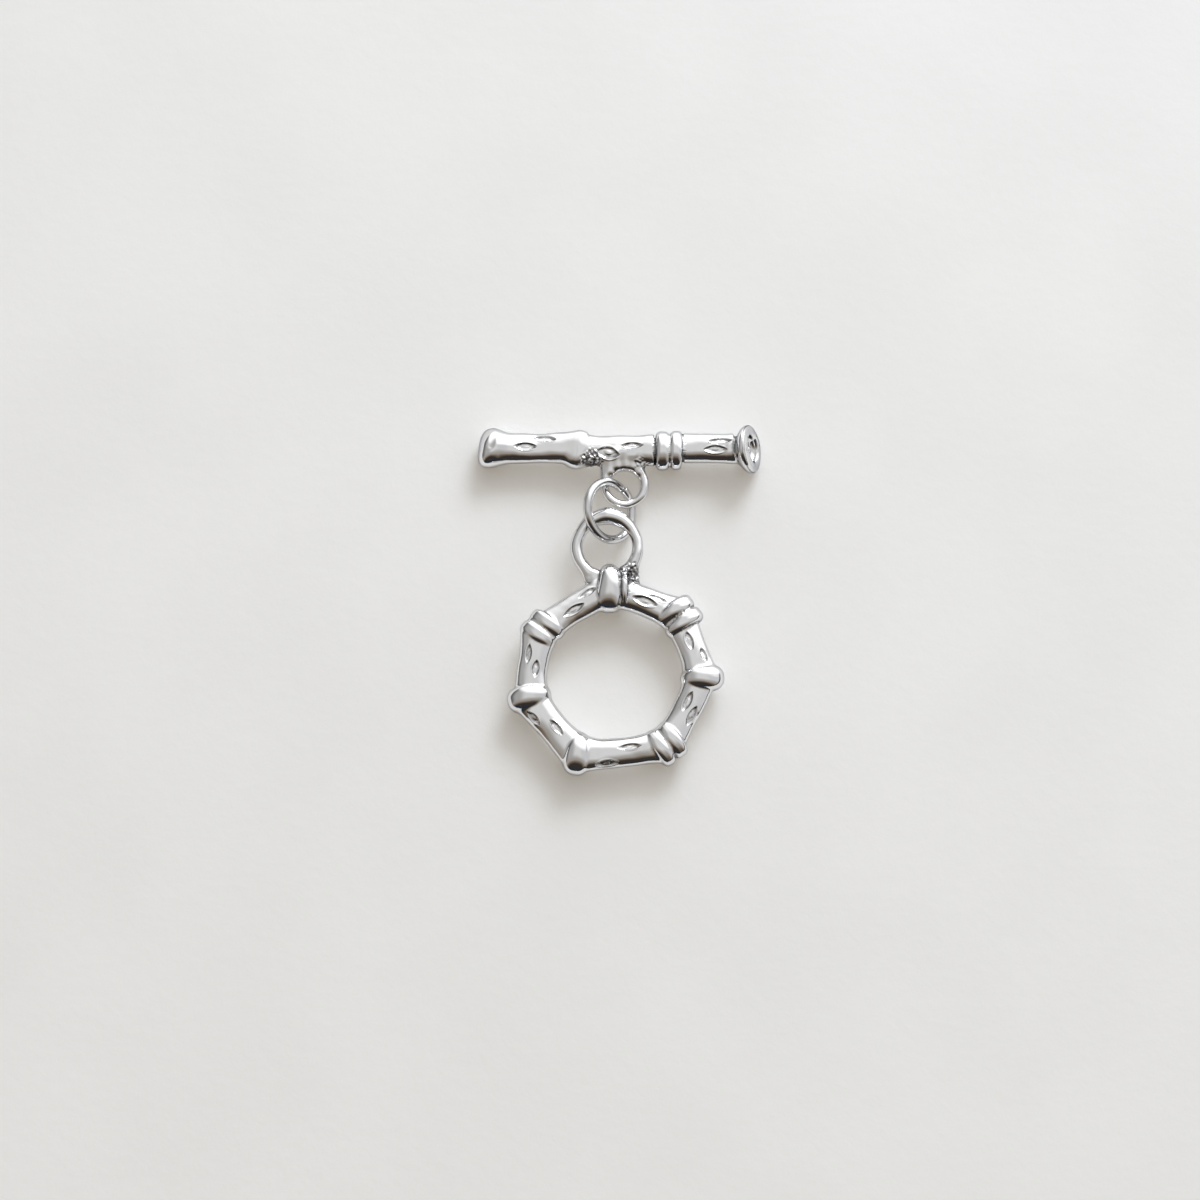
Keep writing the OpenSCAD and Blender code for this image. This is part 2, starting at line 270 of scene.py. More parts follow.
class EyeMark:
    # Almond dent with a crisp rim on a stem that lies along the place's X axis
    def __init__(self, place, x, lean, length, width, skew=0.0, face=1):
        s = eyeMark
        self.place, self.x, self.lean, self.face = place, x, radians(lean), face
        self.length = s["length"] * length / 2
        self.width = s["width"] * width / 2
        self.depth = s["depth"] * min(s["deepest"], s["shallow"] + (1 - s["shallow"]) * width)
        self.skew = radians(skew)
        top = s["stem"] * sin(self.lean), s["stem"] * cos(self.lean) * face
        self.centre = pointAt(place, (x, *top))
        self.reach = self.length * 1.3  # room for the lip

    def inside(self, points):
        # 1 in the middle, 0 on the edge, and the place along and across as shares
        p = localPoints(points, self.place)
        up = p[:, 2] * self.face
        side = p[:, 1]
        top = up * cos(self.lean) + side * sin(self.lean)
        off = side * cos(self.lean) - up * sin(self.lean)
        radial = np.maximum(np.hypot(top, off), 0.3)  # even near the stem's axis
        u = p[:, 0] - self.x
        v = np.arctan2(off, top) * radial
        u, v = u * cos(self.skew) + v * sin(self.skew), v * cos(self.skew) - u * sin(self.skew)
        u, v = u / self.length, v / self.width
        return 1 - u**2 - np.abs(v), u, v

    def form(self, points):
        s = eyeMark
        inside, u, v = self.inside(points)
        wall = easeStep((inside + s["wall"]) / (2 * s["wall"]))
        bowl = 1 - (1 - np.clip(inside, 0, 1)) ** 2
        seed = easeStep(1 - (u / s["seed"]) ** 2 - (v / s["seed"]) ** 2)
        lip = easeStep(1 - np.abs(inside - s["lipAt"]) / s["lipReach"])
        lip = lip * easeStep((s["lipEnd"] - np.abs(u)) / s["lipFade"])
        dent = s["wallShare"] * wall + s["bowlShare"] * bowl - s["seedShare"] * seed
        return self.depth * dent - s["lip"] * lip

    # painted shade along the wall of the mark, just inside its edge
    def edge(self, points):
        s = eyeMark
        inside, u, v = self.inside(points)
        dark = easeStep(1 - np.abs(inside - s["darkAt"]) / s["darkReach"]) * s["darkShare"]
        return dark * easeStep((s["darkEnd"] - np.abs(u)) / s["darkFade"])


class Waves:
    # Seeded sum of sines: an even, slow unevenness or a rough patch
    shortest, longest = 0.7, 1.5  # wavelengths over size

    def __init__(self, seed, size, count=14):
        draw = np.random.default_rng(seed)
        ways = draw.normal(size=(count, 3))
        ways = 2 * pi * ways / np.linalg.norm(ways, axis=1)[:, None]
        self.k = ways / draw.uniform(self.shortest, self.longest, (count, 1)) / size
        self.phase = draw.uniform(0, 2 * pi, count)

    def at(self, points):
        return np.sin(points @ self.k.T + self.phase).sum(1) / np.sqrt(len(self.phase) / 2)


# Skin of the castings: heights and reaches in mm, the rest as shares
castSkin = dict(
    slow=0.024, fine=0.0035, blendRoom=0.7, cutRoom=0.3, patchFade=1.6,
    stainFade=1.7, stainLevel=0.85, stainSpread=0.7, stainGain=14,
    # crease: painted shade in creases, as probe reach, darkness, start and span
    crease=0.28, creaseDark=0.95, creaseStart=0.9, creaseSpan=0.45,
    probe=0.006, largestMove=0.16, leastSlope=0.2,
)
castWaves = Waves(seed=5, size=2.5)
fineWaves = Waves(seed=9, size=0.9)
roughWaves = Waves(seed=21, size=0.34, count=18)


def closeTo(points, part, margin):
    away = points - part.centre
    return np.nonzero((away * away).sum(1) < (part.reach + margin) ** 2)[0]


class Casting:
    # Parts joined with soft corners, less the cuts and dents, with rough patches;
    # what is inside a cut is joined after it
    def __init__(self, parts, cuts=(), marks=(), patches=(), inside=()):
        self.parts, self.cuts, self.marks = parts, cuts, marks
        self.patches, self.inside = patches, inside

    def form(self, points):
        s = castSkin
        d = np.full(len(points), 1.0)  # far outside
        self.join(d, points, self.parts, s["blendRoom"])
        for cut, blend in self.cuts:
            near = closeTo(points, cut, s["cutRoom"])
            d[near] = cutForm(d[near], cut.form(points[near]), blend)
        self.join(d, points, self.inside, s["cutRoom"])
        for mark in self.marks:
            near = closeTo(points, mark, 0.0)
            d[near] += mark.form(points[near])
        d += s["slow"] * castWaves.at(points) + s["fine"] * fineWaves.at(points)
        for centre, reach, amount in self.patches:
            away = np.linalg.norm(points - centre, axis=1)
            near = np.nonzero(away < reach)[0]
            share = easeStep(s["patchFade"] - s["patchFade"] * away[near] / reach)
            d[near] += amount * share * roughWaves.at(points[near])
        return d

    def join(self, d, points, parts, margin):
        for part in parts:
            near = closeTo(points, part, margin)
            d[near] = joinForms(d[near], part.form(points[near]), part.blend)

    def darkness(self, points):
        # plating is thin and dark in the pits, and painted shade darkens the edges of the marks and the
        # creases
        s = castSkin
        dark = np.zeros(len(points))
        for centre, reach, amount in self.patches:
            away = np.linalg.norm(points - centre, axis=1) / reach
            stain = easeStep(s["stainLevel"] + s["stainSpread"] * roughWaves.at(points))
            dark += easeStep(s["stainFade"] - s["stainFade"] * away) * stain * min(1, amount * s["stainGain"])
        for mark in self.marks:
            near = closeTo(points, mark, 0.0)
            dark[near] = np.maximum(dark[near], mark.edge(points[near]))
        # painted shade in creases: the more closed in the skin is, the darker
        outward = self.gradient(points, self.form(points))
        outward /= np.maximum(np.linalg.norm(outward, axis=1), 0.1)[:, None]
        openness = self.form(points + s["crease"] * outward) / s["crease"]
        crease = s["creaseDark"] * easeStep((s["creaseStart"] - openness) / s["creaseSpan"])
        return np.clip(np.maximum(dark, crease), 0, 1)

    def gradient(self, points, d):
        e = castSkin["probe"]
        return np.stack([(self.form(points + e * axis) - d) / e for axis in np.eye(3)], 1)

    def settle(self, points, steps):
        # move points onto the form, each step along its own gradient
        most = castSkin["largestMove"]
        for _ in range(steps):
            d = self.form(points)
            g = self.gradient(points, d)
            size = np.maximum((g * g).sum(1), castSkin["leastSlope"])
            points = points - (np.clip(d, -most, most) / size)[:, None] * g
        return points


def newObject(name, data):
    obj = bpy.data.objects.new(name, data)
    bpy.context.scene.collection.objects.link(obj)
    return obj


def meshPoints(mesh):
    points = np.empty(len(mesh.vertices) * 3)
    mesh.vertices.foreach_get("co", points)
    return points.reshape(-1, 3)


def setPoints(mesh, points):
    mesh.vertices.foreach_set("co", np.asarray(points, dtype=np.float64).ravel())
    mesh.update()


def fusedMesh(name, casting, voxel):
    # the parts' shells, fused into one even skin
    work = bmesh.new()
    for part in casting.parts:
        part.shell(work)
    bmesh.ops.remove_doubles(work, verts=work.verts, dist=1e-4)
    bmesh.ops.recalc_face_normals(work, faces=work.faces)
    rough = bpy.data.meshes.new(name + "Rough")
    work.to_mesh(rough)
    work.free()
    obj = newObject(name, rough)
    fuse = obj.modifiers.new("fuse", "REMESH")
    fuse.mode, fuse.voxel_size, fuse.use_smooth_shade = "VOXEL", voxel, True
    bpy.context.view_layer.update()
    done = obj.evaluated_get(bpy.context.evaluated_depsgraph_get())
    mesh = bpy.data.meshes.new_from_object(done)
    obj.modifiers.clear()
    obj.data = mesh
    bpy.data.meshes.remove(rough)
    mesh.name = name
    return obj


def evenOut(mesh, rounds):
    work = bmesh.new()
    work.from_mesh(mesh)
    for _ in range(rounds):
        bmesh.ops.smooth_vert(work, verts=work.verts, factor=0.5,
                              use_axis_x=True, use_axis_y=True, use_axis_z=True)
    work.to_mesh(mesh)
    work.free()


def castPiece(name, casting, voxel):
    print("casting", name)
    obj = fusedMesh(name, casting, voxel)
    mesh = obj.data
    setPoints(mesh, casting.settle(meshPoints(mesh), 5))
    for _ in range(2):
        evenOut(mesh, 2)
        setPoints(mesh, casting.settle(meshPoints(mesh), 2))
    # dark plating in the pits, with painted shade in creases and along the marks
    pitted = mesh.attributes.new("pitted", "FLOAT", "POINT")
    pitted.data.foreach_set("value", casting.darkness(meshPoints(mesh)))
    return obj


def finishPiece(obj, material, node):
    mesh = obj.data
    work = bmesh.new()
    work.from_mesh(mesh)
    bmesh.ops.scale(work, vec=(mm, mm, mm), verts=work.verts)
    bmesh.ops.recalc_face_normals(work, faces=work.faces)
    for face in work.faces:
        face.smooth = True
    work.to_mesh(mesh)
    work.free()
    mesh.materials.clear()
    mesh.materials.append(material)
    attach(obj, "root")
    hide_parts(node)
    print("finished", obj.name, len(mesh.polygons), "faces")


def mountPlace(name):
    mount = mounts[name]
    slope = asin(-mount["axis"][1])
    return placeAt([c / mm for c in mount["pos_m"]], ("X", slope * 180 / pi))


def loopRadiusOf(name, wire):
    return mounts[name]["dims"]["r_mm"] + wire


def loopArms(loop, loopRadius, rows):
    arms = []
    for a, b, radius, endRadius in rows:
        start, end = (pointAt(loop, (x * loopRadius, y * loopRadius, z)) for x, y, z in (a, b))
        arms.append(Rod(start, end, radius, endRadius))
    return arms


def eyePair(place, x, *shape):
    # the same mark from above and from below
    return [EyeMark(place, x, *shape, face=face) for face in (1, -1)]


def patchesAt(place, rows):
    return [(pointAt(place, at), reach, amount) for at, reach, amount in rows]


# Toggle bar

barSizes = dict(
    length=22.95, stemRadius=1.15, knotRadius=1.6, knotWidth=1.1, pitch=0.964, loopWire=0.36, voxel=0.06,
    # the middle stem lies nearer the ring: shift, and the stretch of half the bar that its marks are on
    middleShift=-0.2, middleSpan=(-0.2, 0.3),
    # plain core under the bands: places along half the bar, radius
    core=(0.2, 0.35, 0.47), coreRadius=0.95,
    # bamboo stems: shift across, then the side as (share of half the bar, share of the stem's radius)
    stems=[
        (0.02, [(-0.86, 1.08), (-0.75, 1.03), (-0.6, 1.0), (-0.5, 1.01), (-0.44, 1.04), (-0.39, 1.09),
                (-0.34, 1.16), (-0.3, 1.21), (-0.272, 1.22), (-0.25, 1.17), (-0.22, 1.06)]),
        (-0.2, [(-0.29, 1.12), (-0.225, 1.09), (-0.17, 1.03), (-0.08, 1.0), (0.05, 0.99), (0.15, 1.01),
                (0.2, 1.05), (0.246, 1.07)]),
        (-0.05, [(0.452, 1.03), (0.5, 1.01), (0.6, 0.99), (0.7, 1.0), (0.77, 1.03), (0.812, 1.06)]),
    ],
    # bands of the double knot: share of half the bar, shift across, radius share, width share
    bands=[(0.309, -0.24, 1.0, 1.04), (0.357, -0.24, 0.88, 0.3), (0.403, -0.24, 1.03, 0.86)],
    # eye marks: share of half the bar, lean towards the far side, length and width shares, skew
    eyes=[
        (-0.658, -4, 1.0, 1.0, -2), (-0.521, 42, 0.98, 0.85, -6), (-0.077, -30, 0.98, 1.5, -10),
        (0.092, 14, 0.98, 0.85, 2), (0.679, -26, 1.0, 0.95, 0), (0.711, 25, 1.1, 0.75, 3),
    ],
    # arms of the neck: from, to (shares of the loop's radius in its plane, mm in height), radius at each end
    neck=[
        ((-0.98, 0.25, 0), (-1.0, 1.25, 0.1), 0.34, 0.42),
        ((-0.72, 0.72, 0.1), (-0.76, 1.55, 0.3), 0.38, 0.42),
        ((-0.35, 0.98, 0.2), (-0.4, 1.62, 0.38), 0.38, 0.42),
        ((0.05, 1.0, 0.2), (0.0, 1.62, 0.38), 0.38, 0.42),
        ((0.4, 0.96, 0.1), (0.36, 1.45, 0.25), 0.38, 0.42),
        ((0.74, 0.7, 0.05), (0.76, 1.34, 0.15), 0.36, 0.42),
    ],
    # beads and lumps of casting on the bar: x, y, z, radius, blend
    beads=[
        (-2.95, -1.32, -0.2, 0.13, 0.06), (2.9, -1.25, -0.15, 0.12, 0.06), (1.65, -1.42, 0.0, 0.15, 0.06),
        (-11.4, 0.1, 0.0, 0.12, 0.05), (-3.62, -0.95, -0.1, 0.74, 0.45),
    ],
    # rough patches: place, reach, height
    patches=[((-2.2, -1.0, 0.3), 1.15, 0.08), ((1.75, -1.3, 0.0), 0.9, 0.03)],
    leftKnob=dict(
        x=-10.5, shift=0.1, yaw=-6, form=dict(blend=0.5, cap=0.3, flat=0.82),
        sides=[(-2.2, 0.88), (-1.85, 0.97), (-1.45, 1.13), (-1.05, 1.34), (-0.65, 1.56), (-0.3, 1.7),
               (0, 1.74), (0.32, 1.7), (0.57, 1.57), (0.78, 1.34), (0.94, 1.0), (1.02, 0.62)],
        slice=-12.0, facing=(-0.6, 0.3, 0.74), sliceReach=3.2, lip=1.0,
        dent=((-10.05, 1.1), (-10.35, -0.05)), dentRadius=0.42, dentStart=0.8, dentRaise=0.14, dentBlend=0.28,
    ),
    rightRim=dict(
        x=10.42, shift=-0.2, raised=0.09, tilt=24,
        sides=[(-0.8, 1.15), (-0.6, 1.32), (-0.38, 1.58), (-0.12, 1.84), (0.1, 1.95), (0.28, 1.93),
               (0.42, 1.78), (0.5, 1.55)],
        flare=[(-1.7, 1.06), (-1.1, 1.1), (-0.7, 1.2), (-0.3, 1.34), (0.1, 1.5)],
        well=1.16, wellDepth=0.65,
        wellLow=[(0.0, 0.8), (0.2, 0.86)], wellTop=[(-0.1, 0.95), (0.0, 1.0), (0.8, 1.0)],
        boss=0.34, bossEnds=(-0.1, 0.02),
    ),
)


def knobForms(bar):
    # left knob: swelling sliced askew, with a dent in the slice
    knob = barSizes["leftKnob"]
    away = turned(turned(slid(bar, knob["x"], knob["shift"]), "Z", 180), "Z", knob["yaw"])
    onFace = pointAt(bar, (knob["slice"], knob["shift"], 0))
    facing = unit(np.array(bar.to_3x3() @ Vector(knob["facing"])))
    ends = []
    for x, y in knob["dent"]:
        spot = pointAt(bar, (x, y, 0))
        spot = spot + vec(0, 0, 1) * ((onFace - spot) @ facing) / facing[2]  # straight up to the slice
        ends.append(spot + knob["dentRaise"] * facing)
    dent = Rod(*ends, knob["dentRadius"] * knob["dentStart"], knob["dentRadius"])
    cuts = [(Slice(onFace, facing, knob["sliceReach"]), knob["lip"]), (dent, knob["dentBlend"])]
    return [Turned(away, knob["sides"], **knob["form"])], cuts


def rimForms(bar):
    # right rim: flare, and a turned lip round a well with a small boss
    rim = barSizes["rightRim"]
    away = slid(bar, rim["x"], rim["shift"], rim["raised"])
    face = turned(away, "Y", -rim["tilt"])
    flare = Turned(away, rim["flare"], blend=0.2, cap=0.2, flat=stemOval["flat"])
    lip = Turned(face, rim["sides"], cap=0.14)
    top = rim["sides"][-1][0]
    low = top - rim["wellDepth"]
    well = [(low + x, share) for x, share in rim["wellLow"]]
    well += [(top + x, share) for x, share in rim["wellTop"]]
    well = Turned(face, [(x, rim["well"] * share) for x, share in well], cap=0.3)
    boss = Rod(*(pointAt(face, (low + x, 0, 0)) for x in rim["bossEnds"]), rim["boss"], blend=0.12)
    return [flare, lip], [(well, 0.12)], [boss]


def makeBar():
    s = barSizes
    half = s["length"] / 2
    loop = mountPlace("bar_loop")
    loopRadius = loopRadiusOf("bar_loop", s["loopWire"])
    foot = loop @ Vector((0, s["stemRadius"] + loopRadius + s["loopWire"], 0))
    bar = placeAt((0, foot.y, foot.z - foot.x * sin(radians(s["pitch"]))), ("Y", -s["pitch"]))
    parts = []
    for across, side in s["stems"]:
        sides = [(x * half, r * s["stemRadius"]) for x, r in side]
        parts.append(Turned(slid(bar, y=across), sides, blend=0.2, cap=0.16, **stemOval))
    core = [(x * half, s["coreRadius"]) for x in s["core"]]
    parts.append(Turned(slid(bar, y=s["middleShift"]), core, blend=0.05, flat=0.58))
    knob, cuts = knobForms(bar)
    rim, wellCuts, boss = rimForms(bar)
    parts += knob + rim
    parts.append(WireLoop(loop, loopRadius, s["loopWire"], blend=0.3))
    parts += loopArms(loop, loopRadius, s["neck"])
    for place, across, radius, width in s["bands"]:
        parts.append(Band(slid(bar, place * half, across), s["knotRadius"] * radius, s["knotWidth"] * width,
                          blend=0.05, edge=0.4))
    for x, y, z, radius, blend in s["beads"]:
        spot = pointAt(bar, (x, y, z))
        parts.append(Rod(spot, spot + vec(0.02, 0, 0), radius, blend=blend))
    marks = []
    for place, *shape in s["eyes"]:
        across = s["middleShift"] if s["middleSpan"][0] < place < s["middleSpan"][1] else 0
        marks += eyePair(slid(bar, y=across), place * half, *shape)
    casting = Casting(parts, cuts + wellCuts, marks, patchesAt(bar, s["patches"]), boss)
    return castPiece("toggleBar", casting, s["voxel"])


# Toggle ring

ringSizes = dict(
    radius=7.05, stemRadius=1.1, swell=0.14, stemOverlap=0.3, knotRadius=1.76, topKnotRadius=2.0,
    knotWidth=1.8, topKnotWidth=1.85, twinWidth=1.18, twinShare=0.97, loopWire=0.43, wireSwell=0.03,
    loopPeak=0.4, openingRadius=5.4, fillet=0.88, voxel=0.083,
    # corners of the stems, clockwise from the ring's loop: angle, reach over the radius
    corners=[
        (94.5, 1.008), (44.3, 1.013), (-1.3, 0.991), (-54.9, 1.03), (-113.8, 1.035), (-163.3, 1.021),
        (150.7, 1.012),
    ],
    # places along a stem at which its side is given, from -1 to 1
    stations=(-1, -0.8, -0.55, -0.25, 0, 0.25, 0.55, 0.8, 1),
    # knots at the corners, the top one first: angle, reach, band angle, bands, radius share, taper
    knots=[
        (93.5, 1.0, 90, 1, 1.0, -0.18), (42.4, 0.985, 36, 2, 0.95, 0.1), (-2.7, 0.985, 3, 1, 1.0, 0.12),
        (-54.1, 0.98, -55, 2, 0.9, 0.05), (-114.8, 1.0, -99, 1, 0.98, 0.16),
        (-164.6, 0.998, -166, 1, 1.0, 0.16), (147.7, 0.965, 142, 2, 0.88, 0.05),
    ],
    # ridge beside the top knot: place along it, radius share, width
    ridge=(1.22, 0.88, 0.42),
    # inner and outer eye mark of the stem after each corner: share of the stem,
    # lean towards the outside, length and width shares
    eyes=[
        ((0.53, -13, 1.15, 1.15), (0.67, 30, 0.9, 0.6)), ((0.46, -6, 0.85, 0.95), (0.73, 43, 0.7, 0.8)),
        ((0.39, -12, 0.95, 1.0), (0.53, 45, 0.95, 0.9)), ((0.42, -18, 1.0, 0.8), (0.69, 60, 1.05, 0.8)),
        ((0.46, -13, 0.85, 0.8), (0.75, 49, 0.75, 0.8)), ((0.44, -24, 0.75, 0.9), (0.64, 30, 0.85, 0.8)),
        ((0.5, -17, 1.05, 0.95), (0.75, 27, 0.85, 0.85)),
    ],
    # arms from the loop to the ring, given as the bar's neck is
    web=[
        ((-0.74, -0.68, 0), (-0.62, -1.05, 0), 0.34, 0.36), ((-0.4, -0.92, 0), (-0.4, -1.25, 0), 0.42, 0.46),
        ((0.62, -0.78, 0), (0.66, -1.2, 0), 0.4, 0.44), ((0.88, -0.5, 0), (0.9, -1.08, 0), 0.34, 0.36),
    ],
    patches=[((1.8, -2.3, 0.3), 1.3, 0.08)],
)


def onRing(ring, angle, reach):
    r = ringSizes["radius"] * reach
    return pointAt(ring, (r * cos(radians(angle)), r * sin(radians(angle)), 0))


def stemSides(length):
    # radius along a stem that swells at both ends and runs on into the knots
    s = ringSizes
    sides = [(length * (1 + t) / 2, s["stemRadius"] + s["swell"] * abs(t) ** 3) for t in s["stations"]]
    before, after = -s["stemOverlap"], length + s["stemOverlap"]
    return [(before, sides[0][1])] + sides + [(after, sides[-1][1])]


def knotForms(ring, top, angle, reach, bandAngle, count, share, taper):
    s = ringSizes
    radius = (s["topKnotRadius"] if top else s["knotRadius"]) * share
    place = Matrix.Translation(onRing(ring, angle, reach)) @ ring.to_3x3().to_4x4()
    place = turned(place, "Z", bandAngle - 90)
    if count == 1:
        width = s["topKnotWidth"] if top else s["knotWidth"]
        bands = [Band(place, radius, width, blend=0.13, taper=taper)]
    else:
        width = s["twinWidth"] * s["twinShare"]
        bands = [Band(slid(place, side * s["twinWidth"]), radius, width, blend=0.08, edge=0.4, taper=taper)
                 for side in (-0.5, 0.5)]
    if top:
        along, ridgeShare, ridgeWidth = s["ridge"]
        bands.append(Band(slid(place, along), radius * ridgeShare, ridgeWidth, blend=0.14))
    return bands


def makeRing():
    s = ringSizes
    ring = mountPlace("ring_opening")
    loop = mountPlace("ring_loop")
    corners = [onRing(ring, angle, reach) for angle, reach in s["corners"]]
    parts, marks = [], []
    for start, end, eyes in zip(corners, corners[1:] + corners[:1], s["eyes"]):
        place = placeAlong(start, end)
        length = float(np.linalg.norm(end - start))
        parts.append(Turned(place, stemSides(length), blend=0.45, cap=0.6, **stemOval))
        for x, *shape in eyes:
            marks += eyePair(place, x * length, *shape)
    # round the opening between the stems
    parts.append(WireLoop(ring, s["openingRadius"] + s["fillet"], s["fillet"], blend=0.35, flat=0.8))
    loopRadius = loopRadiusOf("ring_loop", s["loopWire"])
    parts.append(WireLoop(loop, loopRadius, s["loopWire"] + s["wireSwell"], blend=0.22, peak=s["loopPeak"]))
    parts += loopArms(loop, loopRadius, s["web"])
    for i, knot in enumerate(s["knots"]):
        parts += knotForms(ring, i == 0, *knot)
    casting = Casting(parts, marks=marks, patches=patchesAt(loop, s["patches"]))
    return castPiece("toggleRing", casting, s["voxel"])


# Jump ring

jumpSizes = dict(
    outer=5.4, wire=0.7, lean=41.53, yaw=-7.4, cutAt=65, sides=28, steps=190,
    cut=0.12, burr=0.05, offset=0.1, bend=0.03, bendReach=0.9,
)


def makeJump():
    s = jumpSizes
    print("bending jumpRing")
    low, high = (np.array(c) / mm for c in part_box("jump_ring"))
    wire = s["wire"] / 2
    radius = s["outer"] / 2 - wire
    lean = radians(s["lean"])
    yaw = radians(s["yaw"])
    reachX = np.hypot(cos(lean) * cos(yaw), sin(yaw)) * radius + wire
    centre = (low[0] + reachX, (high[1] + low[1]) / 2, (low[2] + high[2]) / 2)
    place = placeAt(centre, ("Z", s["yaw"]), ("Y", s["lean"]), ("Z", s["cutAt"]))
    halfCut = asin(s["cut"] / 2 / radius)
    work = bmesh.new()
    made = bmesh.ops.create_circle(work, cap_ends=True, segments=s["sides"], radius=wire)["verts"]
    start = Matrix.Rotation(halfCut, 4, "Z") @ Matrix.Translation((radius, 0, 0))
    bmesh.ops.transform(work, matrix=turned(start, "X", 90), verts=made)
    bmesh.ops.spin(work, geom=list(work.faces), cent=(0, 0, 0), axis=(0, 0, 1),
                   angle=2 * pi - 2 * halfCut, steps=s["steps"], use_merge=False)
    bmesh.ops.recalc_face_normals(work, faces=work.faces)
    caps = [f for f in work.faces if len(f.verts) > 4]
    rims = list({e for f in caps for e in f.edges})
    bmesh.ops.bevel(work, geom=rims, offset=s["burr"], segments=3, profile=0.5, affect="EDGES",
                    material=-1, clamp_overlap=True)
    # the wire climbs from one end to the other, and near the cut the ends bend further apart
    for v in work.verts:
        turn = np.arctan2(v.co.y, v.co.x) % (2 * pi) / (2 * pi)
        v.co.z += s["offset"] * (turn - 0.5)
        away = min(turn, 1 - turn) * 2 * pi * radius
        bend = easeStep(1 - away / s["bendReach"])
        v.co.z -= s["bend"] * bend * (1 if turn < 0.5 else -1)
    bmesh.ops.transform(work, matrix=place, verts=work.verts)
    mesh = bpy.data.meshes.new("jumpRing")
    work.to_mesh(mesh)
    work.free()
    return newObject("jumpRing", mesh)


# Finishes. Sock wraps a node's output so that shader maths reads as maths.

class Sock:
    def __init__(self, tree, socket):
        self.tree, self.socket = tree, socket

    def math(self, operation, *values):
        return makeNode(self.tree, "ShaderNodeMath", dict(operation=operation), *values)

    def __add__(self, other):
        return self.math("ADD", self, other)

    def __sub__(self, other):
        return self.math("SUBTRACT", self, other)

    def __rsub__(self, other):
        return self.math("SUBTRACT", other, self)

    def __mul__(self, other):
        return self.math("MULTIPLY", self, other)

    __radd__ = __add__
    __rmul__ = __mul__

    def ease(self, low, high):
        settings = dict(interpolation_type="SMOOTHSTEP")
        return makeNode(self.tree, "ShaderNodeMapRange", settings, self, low, high, 0.0, 1.0)


def makeNode(tree, kind, settings, *values, out=0, **named):
    # values fill the sockets in their order, None leaves one as it is, and out is the output's number
    node = tree.nodes.new(kind)
    for name, value in settings.items():
        setattr(node, name, value)
    for key, value in list(enumerate(values)) + list(named.items()):
        if isinstance(value, Sock):
            tree.links.new(value.socket, node.inputs[key])
        elif value is not None:
            node.inputs[key].default_value = value
    return Sock(tree, node.outputs[out])


def mixColour(tree, share, a, b):
    # the two colours come after the Mix node's number and vector sockets
    skipped = [None] * 5
    return makeNode(tree, "ShaderNodeMix", dict(data_type="RGBA"), share, *skipped, a, b, out=2)


def newMaterial(name):
    material = bpy.data.materials.new(name)
    material.use_nodes = True
    tree = material.node_tree
    shader = tree.nodes["Principled BSDF"]
    where = makeNode(tree, "ShaderNodeTexCoord", {}, out=3)  # Object
    return material, tree, shader, where


def feed(tree, shader, **sockets):
    for name, value in sockets.items():
        tree.links.new(value.socket, shader.inputs[name.replace("_", " ")])


plateFinish = dict(colour=(0.91, 0.91, 0.915, 1), dull=(0.78, 0.77, 0.76, 1), grain=2600.0,
                   roughness=0.06, haze=0.06, pits=0.05)
wireFinish = dict(colour=(0.80, 0.80, 0.80, 1), dull=(0.62, 0.61, 0.60, 1), grain=3200.0,
                  roughness=0.05, haze=0.05, pits=0.03)
# What both kinds of plating share: scales per metre, colours, and how much the
# haze and the pits dull them
plating = dict(
    # dark: plating in the pits, also used for painted shade in creases and along the marks
    hazeScale=420.0, pitScale=1500.0, pitSize=0.12, dark=(0.1, 0.09, 0.085, 1), darkShare=0.92, darkRough=0.2,
    edge=(0.35, 0.36, 0.4, 1), hazeDull=0.35, pitDull=0.25, grainRough=0.03,
)


def plateMaterial(name, finish):
    # bright plating: slow haze, faint tumbling marks, fine pits, and dark where a casting has pits, with
    # painted shade in its creases and along its marks
    s = plating
    material, tree, shader, where = newMaterial(name)
    haze = makeNode(tree, "ShaderNodeTexNoise", {}, where, Scale=s["hazeScale"], Detail=3.0, Roughness=0.55)
    fine = makeNode(tree, "ShaderNodeTexNoise", {}, where, Scale=finish["grain"], Detail=4.0, Roughness=0.7)
    pits = makeNode(tree, "ShaderNodeTexVoronoi", {}, where, Scale=s["pitScale"])
    pit = 1.0 - pits.ease(0.0, s["pitSize"])
    cloud = haze.ease(0.42, 0.68)
    # dark pits and painted shade, as the casting gives them
    pitted = makeNode(tree, "ShaderNodeAttribute", dict(attribute_name="pitted"), out=2)
    dull = cloud * s["hazeDull"] + pit * s["pitDull"]
    bright = mixColour(tree, dull, finish["colour"], finish["dull"])
    colour = mixColour(tree, pitted * s["darkShare"], bright, s["dark"])
    rough = finish["roughness"] + cloud * finish["haze"] + fine.ease(0.5, 0.75) * s["grainRough"]
    rough = rough + pit * finish["pits"] + pitted * s["darkRough"]
    height = fine * 0.6 + haze * 1.5 - pit
    bump = makeNode(tree, "ShaderNodeBump", {}, Strength=0.12, Distance=0.00002, Height=height)
    feed(tree, shader, Base_Color=colour, Roughness=rough, Normal=bump)
    shader.inputs["Metallic"].default_value = 1.0
    shader.inputs["Specular Tint"].default_value = s["edge"]  # darker at the very edges
    return material


paper = dict(low=(0.77, 0.775, 0.775, 1), high=(0.83, 0.835, 0.835, 1), fibreScale=900.0, mottleScale=60.0,
             roughness=0.9, glow=(1.0, 0.86, 0.66, 1), glowStrength=0.145)


